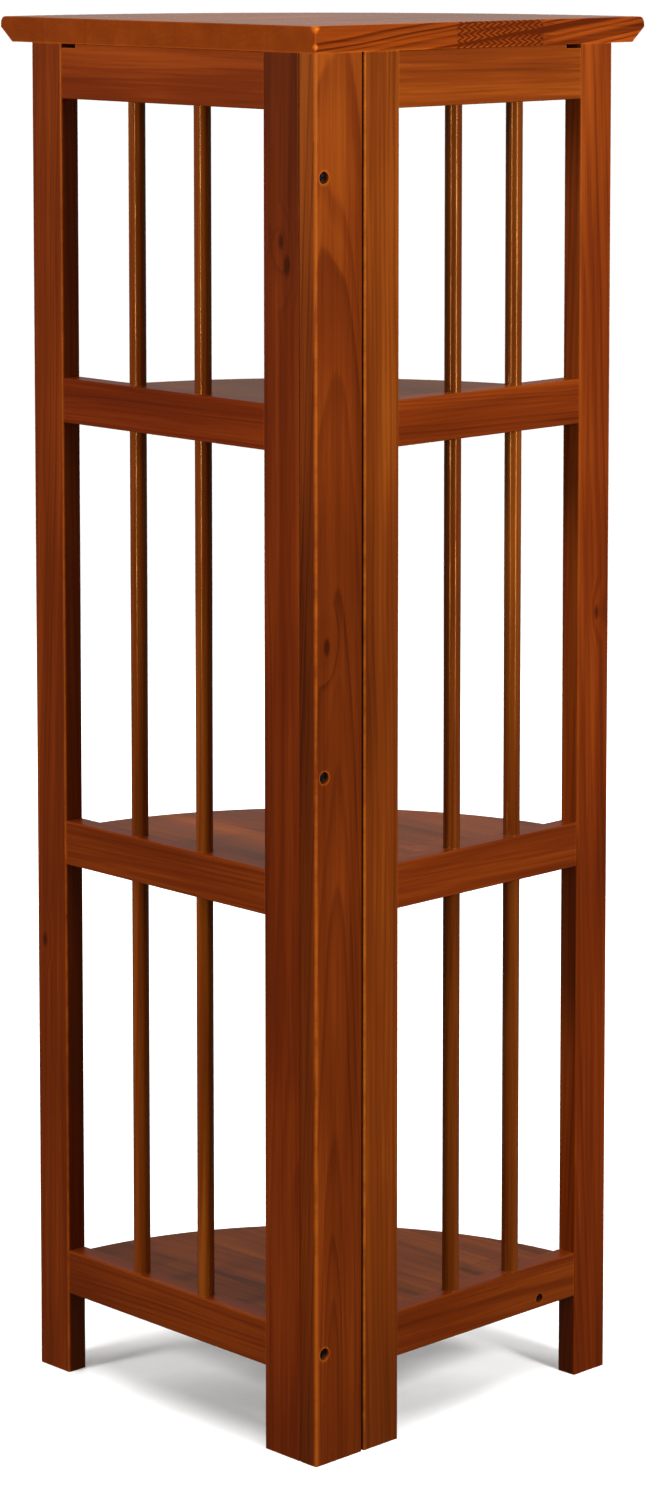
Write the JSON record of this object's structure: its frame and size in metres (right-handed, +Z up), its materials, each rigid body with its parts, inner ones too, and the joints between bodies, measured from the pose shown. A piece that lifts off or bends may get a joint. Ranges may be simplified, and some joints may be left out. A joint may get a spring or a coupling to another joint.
{
  "type": "folding bookcase",
  "caption": "Corner folding bookcase with two slatted wing panels, a corner board, quarter-round shelves that flip up on butt hinges and a lift-off quarter-round top.",
  "frame": {"origin": "centre of the bounding box at floor level", "axes": "+Z up, the left wing runs along +Y and the right wing along +X from the outer rear corner at -X -Y; the open front faces +X +Y"},
  "size_m": [0.326, 0.326, 0.986],
  "materials": {
    "frame_wood": "honey oak stain, satin lacquer",
    "shelf_wood": "honey oak stain, satin lacquer",
    "top_wood": "honey oak stain, satin lacquer",
    "plain_beech": "bare turned beech",
    "hinge_steel": "plated steel",
    "black_screw": "black oxide"
  },
  "bodies": {
    "frame": {"corner_board": "frame_wood", "left_rear_stile": "frame_wood", "left_front_stile": "frame_wood", "right_rear_stile": "frame_wood", "right_front_stile": "frame_wood", "left_lower_rail": "frame_wood", "right_lower_rail": "frame_wood", "left_middle_rail": "frame_wood", "right_middle_rail": "frame_wood", "left_upper_rail": "frame_wood", "right_upper_rail": "frame_wood", "left_head_rail": "frame_wood", "right_head_rail": "frame_wood", "left_rail_dowels": "plain_beech", "right_rail_dowels": "plain_beech", "left_lower_spindles": "frame_wood", "right_lower_spindles": "frame_wood", "left_middle_spindles": "frame_wood", "right_middle_spindles": "frame_wood", "left_upper_spindles": "frame_wood", "right_upper_spindles": "frame_wood", "corner_screws": "black_screw", "corner_hinge_board_leaves": "hinge_steel", "corner_hinge_wing_leaves": "hinge_steel", "corner_hinge_pins": "hinge_steel", "corner_hinge_screws": "hinge_steel", "right_lower_cleat": "frame_wood", "right_middle_cleat": "frame_wood", "right_upper_cleat": "frame_wood", "cleat_screws": "hinge_steel", "lower_rail_screw": "black_screw", "rail_hinge_screws": "hinge_steel", "top_pegs": "plain_beech", "lower_hinge_rail_leaves": "hinge_steel", "lower_hinge_pins": "hinge_steel", "middle_hinge_rail_leaves": "hinge_steel", "middle_hinge_pins": "hinge_steel", "upper_hinge_rail_leaves": "hinge_steel", "upper_hinge_pins": "hinge_steel"},
    "lower_shelf": {"lower_shelf": "shelf_wood", "lower_hinge_shelf_leaves": "hinge_steel", "lower_shelf_hinge_screws": "hinge_steel"},
    "middle_shelf": {"middle_shelf": "shelf_wood", "middle_hinge_shelf_leaves": "hinge_steel", "middle_shelf_hinge_screws": "hinge_steel"},
    "upper_shelf": {"upper_shelf": "shelf_wood", "upper_hinge_shelf_leaves": "hinge_steel", "upper_shelf_hinge_screws": "hinge_steel"},
    "top": {"top_board": "top_wood"}
  },
  "joints": [
    {"name": "lower_shelf_flip", "type": "hinge", "parent": "frame", "child": "lower_shelf", "pos_m": [-0.1448, -0.008, 0.0825], "axis": [0, -1, 0], "range_deg": [0, 90]},
    {"name": "middle_shelf_flip", "type": "hinge", "parent": "frame", "child": "middle_shelf", "pos_m": [-0.1448, -0.008, 0.4005], "axis": [0, -1, 0], "range_deg": [0, 90]},
    {"name": "upper_shelf_flip", "type": "hinge", "parent": "frame", "child": "upper_shelf", "pos_m": [-0.1448, -0.008, 0.7215], "axis": [0, -1, 0], "range_deg": [0, 90]},
    {"name": "top_lift", "type": "slide", "parent": "frame", "child": "top", "axis": [0, 0, 1], "range_m": [0, 0.06]}
  ],
  "couplings": [
    {"joint": "top_lift", "follows": "upper_shelf_flip", "m_per_rad": 0.0381}
  ]
}
